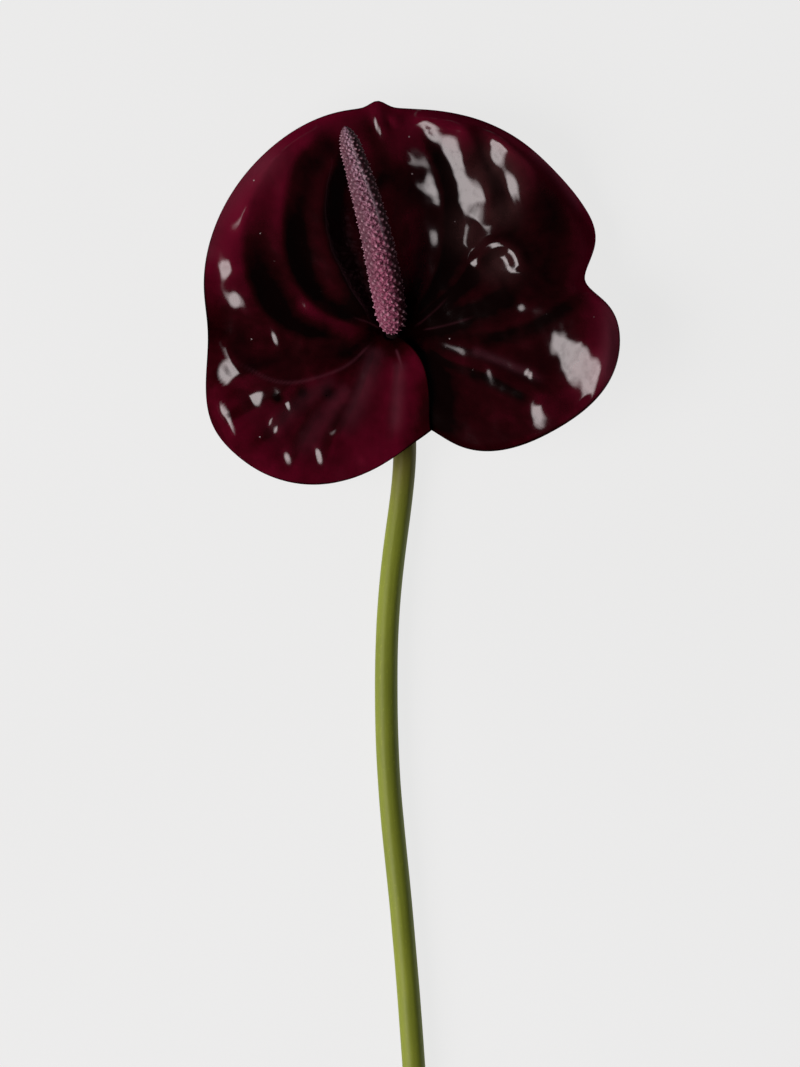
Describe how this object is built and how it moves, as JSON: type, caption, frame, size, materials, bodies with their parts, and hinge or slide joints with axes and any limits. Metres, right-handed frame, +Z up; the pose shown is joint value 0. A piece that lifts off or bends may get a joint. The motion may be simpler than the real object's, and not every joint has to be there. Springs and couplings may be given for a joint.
{
  "type": "anthurium flower",
  "caption": "Cut anthurium flower laid on its back: a glossy dark heart-shaped spathe with rolled margins, a bumpy mauve spadix and a long green stem.",
  "frame": {"origin": "the middle of the underside of the whole flower's box, on the surface that it lies on", "axes": "+Y from the cut end of the stem to the top of the spathe, +Z up from the surface, +X to the right as seen from above"},
  "size_m": [0.12, 0.3176, 0.0354],
  "materials": {
    "stem_skin": "satin",
    "spathe_wax": "gloss",
    "spadix_florets": "matte"
  },
  "bodies": {
    "root": {"stem": "stem_skin", "spathe": "spathe_wax", "spadix": "spadix_florets"}
  },
  "joints": []
}
